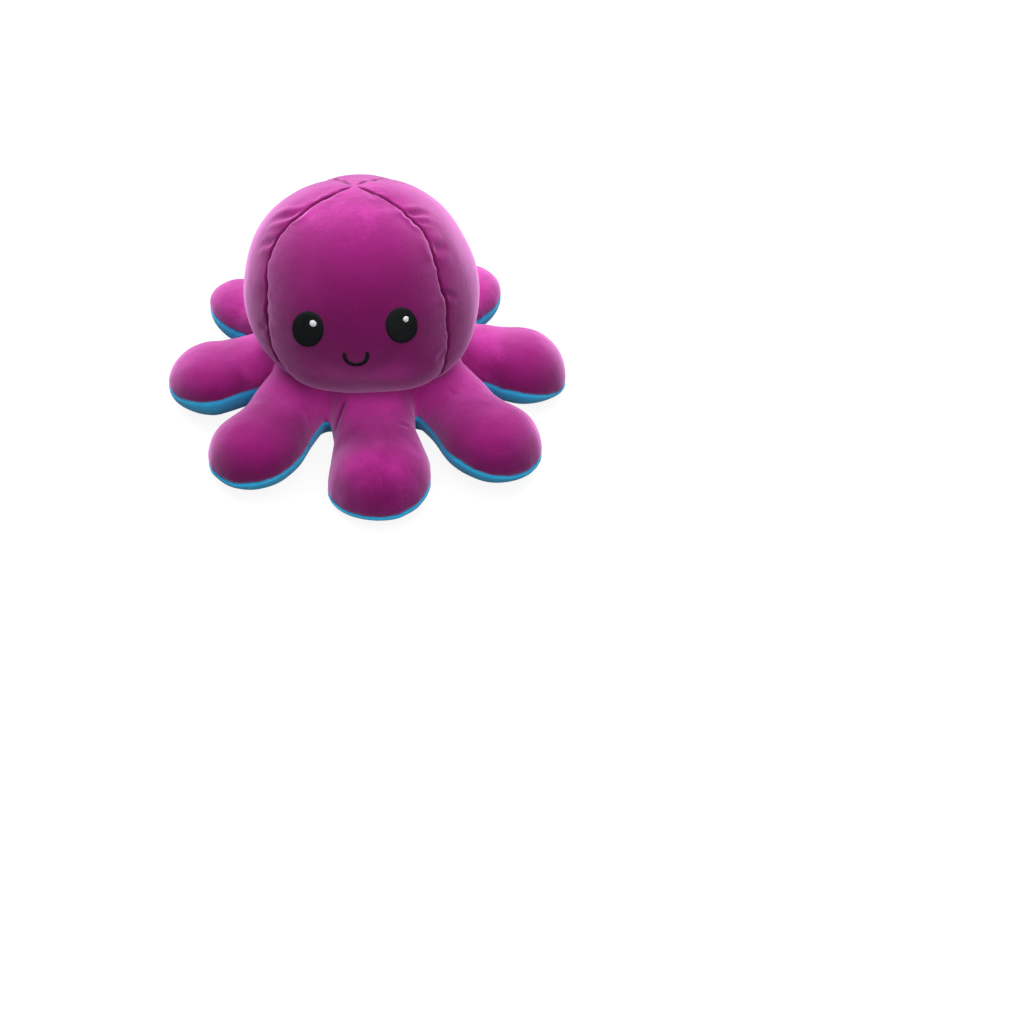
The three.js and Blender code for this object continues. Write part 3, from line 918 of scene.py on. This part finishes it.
def head_point(azimuth, elevation):
    towards = ball_direction(azimuth, elevation)
    degrees_off = from_head_seam(azimuth, elevation)
    level = HEAD_RADIUS * math.cos(math.radians(elevation))
    off_seam = math.radians(degrees_off) * level
    drawn = 0.02 * max(0.0, 1 - degrees_off / 20)
    crown_fade = smooth_step(level, 0, 16)
    swell = 0.9 * crown_fade * (1 - math.exp(-off_seam / 7.0)) - 0.5 * crown_fade
    roll = -HEAD_SEAM_DEPTH * max(0.0, 1 - off_seam / HEAD_SEAM_WIDTH) ** 1.8
    roll *= smooth_step(level, 0, 6)
    place = Vector((azimuth * 0.25, elevation * 0.9, 0))
    gather = 0.9 * ripple(place, 0.14, 2.0) + 0.45 * ripple(place, 0.36, 5.0)
    gather *= math.exp(-off_seam / 6.0) * crown_fade
    uneven = 0.5 * noise.noise(towards * 2.6 + Vector((3, 1, 7)))
    round_front = within_half_turn(azimuth)
    jowls = 3.0 * hump(elevation, -36, 17) * hump(abs(round_front), 38, 26)
    outward = swell + roll + gather + uneven + jowls
    for height, at_elevation, tall, at_azimuth, wide in HEAD_SWELLS:
        outward += height * hump(elevation, at_elevation, tall) * hump(round_front, at_azimuth, wide)
    outward += head_creases(azimuth, elevation) * crown_fade * smooth_step(off_seam, 0.4, 3.5)
    return stretched(towards, HEAD_RADIUS * (1 - drawn) + outward, HEAD_HALF_HEIGHT + outward)


def on_the_arms(place):
    # Lifts a point of the head's underside onto the arms' roots.
    if place.z > 45 or level_radius(place) > 52:
        return place
    hit = star_surface.ray_cast(Vector((place.x, place.y, 60)), Vector((0, 0, -1)))[0]
    if hit is None:
        return place
    return Vector((place.x, place.y, max(place.z, hit.z + 0.25)))


# %% Head: painted light and shade on the pile
HEAD_NAP = 0.34


def head_painted_light(place, normal):
    # Painted light on the crown, painted shade under the chin with painted light just above it, and a
    # line of painted shade along each seam.
    up = (place.z - HEAD_HEIGHT) / HEAD_HALF_HEIGHT
    upright = head_place.inverted() @ place
    radius = level_radius(upright)
    azimuth = math.degrees(math.atan2(upright.x, -upright.y))
    rise = math.atan2(upright.z / HEAD_HALF_HEIGHT, radius / HEAD_RADIUS)
    off_seam = math.radians(from_head_seam(azimuth, math.degrees(rise))) * radius
    painted_groove_shade = hump(off_seam, 0, 0.8) * smooth_step(radius, 2, 6)
    crown = 0.2 * smooth_step(up, 0.7, 1.0)
    face_light_and_chin_shade = 0.3 * smooth_step(-up, -0.15, 0.3) - 0.75 * smooth_step(-up, 0.25, 0.75)
    return HEAD_NAP + crown + face_light_and_chin_shade * hump(azimuth, 0, 45) - 0.8 * painted_groove_shade


# %% Head: the four gores
for number, (side, _, _) in enumerate(PANELS):

    def gore_point(across, up):
        elevation = mix(LOWEST_ROW, 90, up)
        seams = head_seams(elevation)
        last = seams[number]
        first = seams[number - 1] - (360 if number == 0 else 0)
        azimuth = mix(first, last, crowded(across))
        return on_the_arms(head_place @ head_point(azimuth, elevation))

    made = laid_grid(60, 120, gore_point)
    piece = finished_cloth(made, f"head_{side}_gore", purple_plush, head_painted_light)
    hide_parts(f"head_{side}_panel")
    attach(piece, "body")
print("head gores:", len(PANELS))

# %% [markdown]
# ## Pocket
# The blue head is pushed up inside the purple one. It could be the head's own gores turned inside
# out, but the fill round it squeezes it smaller. Its cloth faces down into the hollow, so its gores
# are laid the other way round, and a wall runs from the waist down to the mouth.

# %% Pocket: gores and mouth
WALL_SHARE = 0.28
MOUTH_HEIGHT = 1.2
WALL_ABOVE_WAIST = 8
POCKET_SEAM_WIDTH = 2.2
POCKET_SEAM_DEPTH = 1.3


def pocket_point(azimuth, up):
    waist_angle = math.acos(WAIST_RADIUS / POCKET_RADIUS)
    towards = ball_direction(azimuth, 0)
    if up < WALL_SHARE:
        share = up / WALL_SHARE
        radius = mix(MOUTH_RADIUS, WAIST_RADIUS, smooth_step(share, 0, 1))
        height = mix(MOUTH_HEIGHT, WAIST_HEIGHT + WALL_ABOVE_WAIST, share)
    else:
        angle = mix(-waist_angle, math.pi / 2, (up - WALL_SHARE) / (1 - WALL_SHARE))
        radius = POCKET_RADIUS * math.cos(angle)
        height = POCKET_HEIGHT + POCKET_HALF_HEIGHT * math.sin(angle)
    off_seam = math.radians(from_lining_seam(azimuth)) * radius
    roll = seam_roll(off_seam, POCKET_SEAM_WIDTH, POCKET_SEAM_DEPTH) * smooth_step(radius, 0, 6)
    slack = 0.9 * ripple((azimuth * 0.22, height * 0.8, 0), 0.12, 4.0) * smooth_step(radius, 4, 20)
    radius = max(0.0, radius + roll + slack * 0.8)
    return Vector((towards.x * radius, towards.y * radius, height))


for side, middle, angle in PANELS:

    def lining_point(across, up):
        return pocket_point(middle + (crowded(across) - 0.5) * angle, up)

    made = laid_grid(36, 60, lining_point)
    made.faces.ensure_lookup_table()
    sample = made.faces[len(made.faces) // 2]
    middle_of_pocket = Vector((0, 0, POCKET_HEIGHT))
    if sample.normal.dot(middle_of_pocket - sample.calc_center_median()) < 0:
        bmesh.ops.reverse_faces(made, faces=made.faces)
    piece = finished_cloth(made, f"pocket_{side}_gore", blue_plush, even_nap)
    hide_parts(f"lining_{side}_panel")
    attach(piece, "body")
print("pocket gores:", len(PANELS))

# %% [markdown]
# The fibre between the two heads is one thick shell, laid as a closed line turned round the toy. It
# could be grown as tangled curves, but nothing of it shows.

# %% Fill of the head
FILL_UNDER_HEAD = 4.5
FILL_OVER_POCKET = 3


def fill_outline(share):
    # A closed line round the fill, from the crown of the head down and back up the pocket.
    if share < 0.5:
        angle = math.radians(mix(90, -50, share * 2))
        radius = (HEAD_RADIUS - FILL_UNDER_HEAD) * math.cos(angle)
        return radius, HEAD_HEIGHT + (HEAD_HALF_HEIGHT - FILL_UNDER_HEAD) * math.sin(angle)
    angle = math.radians(mix(-40, 90, share * 2 - 1))
    radius = (POCKET_RADIUS + FILL_OVER_POCKET) * math.cos(angle)
    return radius, POCKET_HEIGHT + (POCKET_HALF_HEIGHT + FILL_OVER_POCKET) * math.sin(angle)


def head_fill_point(around, share):
    radius, height = fill_outline(share)
    towards = ball_direction(around * 360, 0)
    fade = smooth_step(radius, 4, 20)
    lump = 0.8 * noise.noise(Vector((towards.x, towards.y, height * 0.03)) * 3.0) * fade
    radius += lump
    return Vector((towards.x * radius + HEAD_SHIFT / 2, towards.y * radius, height))


made = laid_grid(40, 44, head_fill_point)
bmesh.ops.holes_fill(made, edges=[e for e in made.edges if e.is_boundary])
piece = finished(made, "head_fill", stuffing)
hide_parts("body_stuffing")
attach(piece, "body")
print("vertices in the fill of the head:", len(piece.data.vertices))

# %% [markdown]
# ## Faces
# The eyes and mouths are satin stitch: threads laid side by side over a padded shape. They could be
# a picture on the cloth, but the ridges catch the light. One grid per shape has a few columns along
# a thread and several rows across each thread, so the rows can rise and fall into ridges, and each
# thread can end a little short or long, as a machine leaves it. The grid is laid on the cloth by
# casting a ray onto it, and its rim is pushed down into the pile.


# %% Faces: satin stitch
def cloth_surface(names):
    made = bmesh.new()
    for name in names:
        made.from_mesh(bpy.data.objects[name].data)
    bmesh.ops.scale(made, vec=(1 / MM, 1 / MM, 1 / MM), verts=made.verts)
    surface = BVHTree.FromBMesh(made)
    made.free()
    return surface


SEWN_BLACK = (black_thread, "black_thread")
SEWN_WHITE = (white_thread, "white_thread")
ROWS_PER_THREAD = 5
LOOSE_END = 0.16
RIDGE = 0.2
SUNK = 0.25


def satin(name, threads, ends, laid_on, sewn_with, node, padding=0.9, lift=0.0, seed=1):
    chance = random.Random(seed)
    uneven = [
        (chance.uniform(-LOOSE_END, LOOSE_END), chance.uniform(-LOOSE_END, LOOSE_END))
        for _ in range(threads + 1)
    ]

    def stitch_point(along, across):
        thread_number = min(threads - 1, int(across * threads))
        in_thread = across * threads - thread_number
        first, last = ends(across)
        run = last - first
        thread_way = run / max(run.length, 1e-6)
        first = first - thread_way * uneven[thread_number][0]
        last = last + thread_way * uneven[thread_number][1]
        dome = math.sqrt(max(0.0, 1 - (2 * along - 1) ** 2))
        rim = min(1.0, min(across, 1 - across) * threads / 3)
        ridge = RIDGE * math.sin(math.pi * in_thread)
        height = lift + (padding * math.sqrt(rim) + ridge) * dome - SUNK
        return laid_on(first.lerp(last, along), height)

    made = laid_grid(8, threads * ROWS_PER_THREAD, stitch_point)
    rim_edges = [e for e in made.edges if e.is_boundary]
    skirt = bmesh.ops.extrude_edge_only(made, edges=rim_edges)
    inward = laid_on(Vector((0, 0)), -1.0) - laid_on(Vector((0, 0)), 0.0)
    bmesh.ops.translate(
        made, vec=inward, verts=[g for g in skirt["geom"] if isinstance(g, bmesh.types.BMVert)]
    )
    bmesh.ops.recalc_face_normals(made, faces=made.faces)
    material, slot = sewn_with
    piece = finished(made, name, material)
    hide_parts(node)
    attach(piece, "body")
    print(name, "with threads:", threads)


def satin_eye(kind, side, nodes, laid_on, ends, glint_ends, seed):
    eye_node, glint_node = nodes
    satin(f"satin_{kind}eye_{side}", 36, ends, laid_on, SEWN_BLACK, eye_node, seed=seed)
    satin(
        f"satin_{kind}glint_{side}",
        9,
        glint_ends,
        laid_on,
        SEWN_WHITE,
        glint_node,
        padding=0.4,
        lift=1.05,
        seed=seed + 10,
    )


# %% Faces: outlines laid on the cloth
def upward(way):
    return -way if way.z < 0 else way


def laid_on_head(surface, azimuth, elevation):
    towards = ball_direction(azimuth, elevation)
    right = Vector((math.cos(math.radians(azimuth)), math.sin(math.radians(azimuth)), 0))
    up = upward(right.cross(-towards).normalized())
    turned = head_place.to_3x3()
    middle = stretched(towards, HEAD_RADIUS, HEAD_HALF_HEIGHT)

    def place(flat, height):
        start = head_place @ (middle + right * flat.x + up * flat.y + towards * 15)
        hit = surface.ray_cast(start, turned @ -towards)[0]
        return hit + (turned @ towards) * height

    return place


def leaning_oval_ends(long_half, short_half, lean):
    # An oval whose long axis leans by some degrees from level, with its threads still level.
    turn = math.radians(lean)
    wide = (math.cos(turn) / long_half) ** 2 + (math.sin(turn) / short_half) ** 2
    tall = (math.sin(turn) / long_half) ** 2 + (math.cos(turn) / short_half) ** 2
    skew = math.sin(2 * turn) * (1 / long_half**2 - 1 / short_half**2)
    top = math.sqrt(wide / (wide * tall - skew * skew / 4))

    def ends(across):
        level = (2 * across - 1) * 0.995 * top
        middle = -skew * level / (2 * wide)
        half = math.sqrt(max(0.0, middle * middle - (tall * level * level - 1) / wide))
        return Vector((middle - half, level)), Vector((middle + half, level))

    return ends


def moved_ends(ends, aside, rise):
    def moved(across):
        return tuple(end + Vector((aside, rise)) for end in ends(across))

    return moved


def curve_ends(half_width, depth, stroke, flare=0.0):
    # A U of satin stitch: the threads run across the stroke.
    radius = (half_width**2 + depth**2) / (2 * depth)
    half_turn = math.acos(max(-1.0, 1 - depth / radius))

    def ends(across):
        angle = mix(-half_turn, half_turn, across)
        towards = Vector((math.sin(angle), -math.cos(angle)))
        out = flare * abs(2 * across - 1) ** 6 * math.copysign(1, angle)
        middle = Vector((0, radius - depth / 2)) + Vector((out, 0))
        half_stroke = stroke / 2 * (1 - 0.25 * abs(2 * across - 1) ** 8)
        return middle + towards * (radius - half_stroke), middle + towards * (radius + half_stroke)

    return ends


# %% Faces: the happy face
EYE_AZIMUTH = 22.7
EYE_ELEVATION = 2.3
SMILE_ELEVATION = -13.9
# side, sign, long half, short half, lean, rise, glint radius, glint aside, glint rise
EYES = [
    ("left", -1, 9.9, 8.2, 46.9, -0.2, 1.57, 3.3, 3.7),
    ("right", 1, 9.1, 8.2, 123.7, 0.5, 1.3, 1.9, 3.6),
]
front_surface = cloth_surface(["head_front_gore"])
for side, sign, long_half, short_half, lean, rise, glint_radius, glint_aside, glint_rise in EYES:
    satin_eye(
        "",
        side,
        (f"eye_{side}", f"eye_glint_{side}"),
        laid_on_head(front_surface, sign * EYE_AZIMUTH, EYE_ELEVATION),
        moved_ends(leaning_oval_ends(long_half, short_half, lean), 0.0, rise),
        moved_ends(leaning_oval_ends(glint_radius, glint_radius, 0.0), glint_aside, glint_rise),
        seed=11 + sign,
    )
satin(
    "satin_smile",
    44,
    curve_ends(half_width=4.5, depth=7.4, stroke=2.3, flare=0.5),
    laid_on_head(front_surface, 0, SMILE_ELEVATION),
    SEWN_BLACK,
    "smile",
    padding=0.5,
    seed=31,
)

# %% [markdown]
# The other face is the grumpy one, on the blue cloth inside the pocket. Its eyes are the lower halves
# of ovals under lids that slope down to the middle, and its mouth is the same curve upside down.

# %% Faces: the grumpy face
GRUMPY_HALF_WIDTH = 10.4
GRUMPY_DROP = 17.0
LID_SLOPE = 8.5
GRUMPY_AZIMUTH = 32.5
GRUMPY_ELEVATION = 14.0
FROWN_ELEVATION = -18.0
pocket_middle = Vector((0, 0, POCKET_HEIGHT))
pocket_surface = cloth_surface([f"pocket_{side}_gore" for side, _, _ in PANELS])


def laid_in_pocket(azimuth, elevation):
    towards = ball_direction(azimuth, elevation)
    right = Vector((-math.cos(math.radians(azimuth)), -math.sin(math.radians(azimuth)), 0))
    up = upward(towards.cross(right).normalized())
    middle = stretched(towards, POCKET_RADIUS, POCKET_HALF_HEIGHT)

    def place(flat, height):
        ray = (middle + right * flat.x + up * flat.y).normalized()
        return pocket_surface.ray_cast(pocket_middle, ray)[0] - ray * height

    return place


def lidded_ends(slope):
    turn = Matrix.Rotation(math.radians(slope), 2)

    def ends(across):
        level = -GRUMPY_DROP * (1 - across) * 0.998
        half = GRUMPY_HALF_WIDTH * math.sqrt(max(0.0, 1 - (level / GRUMPY_DROP) ** 2))
        return turn @ Vector((-half, level)), turn @ Vector((half, level))

    return ends


def turned_over(ends):
    def over(across):
        return tuple(-end for end in ends(across))

    return over


for side, sign in (("left", -1), ("right", 1)):
    satin_eye(
        "grumpy_",
        side,
        (f"lining_eye_{side}", f"lining_glint_{side}"),
        laid_in_pocket(-sign * GRUMPY_AZIMUTH, GRUMPY_ELEVATION),
        lidded_ends(-sign * LID_SLOPE),
        moved_ends(leaning_oval_ends(1.6, 1.6, 0.0), 3.4, -5.0),
        seed=41 + sign,
    )
satin(
    "satin_frown",
    40,
    turned_over(curve_ends(half_width=5.7, depth=6.0, stroke=2.3)),
    laid_in_pocket(0, FROWN_ELEVATION),
    SEWN_BLACK,
    "frown",
    padding=0.5,
    seed=61,
)

# %% [markdown]
# ## Floor and light
# The ground is plain. For the camera it is lifted to the white of the background, a little less near
# the toy, so that the toy's shadow is all that shows on it. The crown and the backs of the arms are
# the palest places in the photograph, and the chin the darkest, so most of the light is one large
# soft box behind and above. A smaller one overhead and one in front fill in the face and the web
# under the chin. A picture of a room could light it too, but its light can't be moved box by box.

# %% Floor
FLOOR_HALF_SIDE = 3000
WHITE = (1, 1, 1, 1)
floor_grid = bmesh.new()
bmesh.ops.create_grid(floor_grid, x_segments=1, y_segments=1, size=FLOOR_HALF_SIDE)
ground, ground_tree, ground_shader, ground_place = material_parts("pale ground")
look = {"Base Color": (0.12, 0.12, 0.12, 1), "Roughness": 0.9, "Specular IOR Level": 0.0}
matt = filled(ground_tree, ground_shader, look)["BSDF"]
from_toy = ground_tree.nodes.new("ShaderNodeVectorMath")
from_toy.operation = "LENGTH"
off_toy = filled(ground_tree, from_toy, {0: ground_place.outputs["Object"]})["Value"]
whitening = {"Value": off_toy, "From Min": 0.4, "From Max": 1.2, "To Min": 0.9, "To Max": 1.0}
whiter = node_on(ground_tree, "ShaderNodeMapRange", whitening)["Result"]
to_camera = ground_tree.nodes.new("ShaderNodeLightPath").outputs["Is Camera Ray"]
strength = math_on(ground_tree, "MULTIPLY", to_camera, whiter)
glow = node_on(ground_tree, "ShaderNodeEmission", {"Color": WHITE, "Strength": strength})
both = node_on(ground_tree, "ShaderNodeAddShader", {0: matt, 1: glow["Emission"]})["Shader"]
filled(ground_tree, ground_tree.nodes["Material Output"], {"Surface": both})
floor = finished(floor_grid, "floor", ground)
floor.data.shade_flat()

# %% Light of the room
world = bpy.data.worlds.new("room")
bpy.context.scene.world = world
world.use_nodes = True
world_tree = world.node_tree
room = world_tree.nodes["Background"]
dim = filled(world_tree, room, {"Color": WHITE, "Strength": 0.05})["Background"]
bright = node_on(world_tree, "ShaderNodeBackground", {"Color": WHITE, "Strength": 1.0})["Background"]
rays = world_tree.nodes.new("ShaderNodeLightPath").outputs
seen = math_on(world_tree, "MAXIMUM", rays["Is Camera Ray"], rays["Is Glossy Ray"])
seen = math_on(world_tree, "MAXIMUM", seen, rays["Is Transmission Ray"])
either = node_on(world_tree, "ShaderNodeMixShader", {"Fac": seen, 1: dim, 2: bright})["Shader"]
filled(world_tree, world_tree.nodes["World Output"], {"Surface": either})


# %% Soft boxes
AIM = Vector((0, 0, 0.05))


def soft_box(name, place, side, power):
    lamp = bpy.data.lights.new(name, "AREA")
    lamp.shape = "SQUARE"
    lamp.size = side
    lamp.energy = power
    box = bpy.data.objects.new(name, lamp)
    box.location = place
    box.rotation_euler = (AIM - Vector(place)).to_track_quat("-Z", "Y").to_euler()
    bpy.context.scene.collection.objects.link(box)
    print(name, "at", place, "with", power, "W")


soft_box("overhead box", (0.0, -0.1, 1.35), side=1.4, power=12.0)
soft_box("front box", (0.1, -1.15, 1.0), side=1.2, power=9.5)
soft_box("back box", (0.0, 1.0, 1.0), side=2.2, power=76.0)
bpy.context.scene.view_settings.view_transform = "Standard"
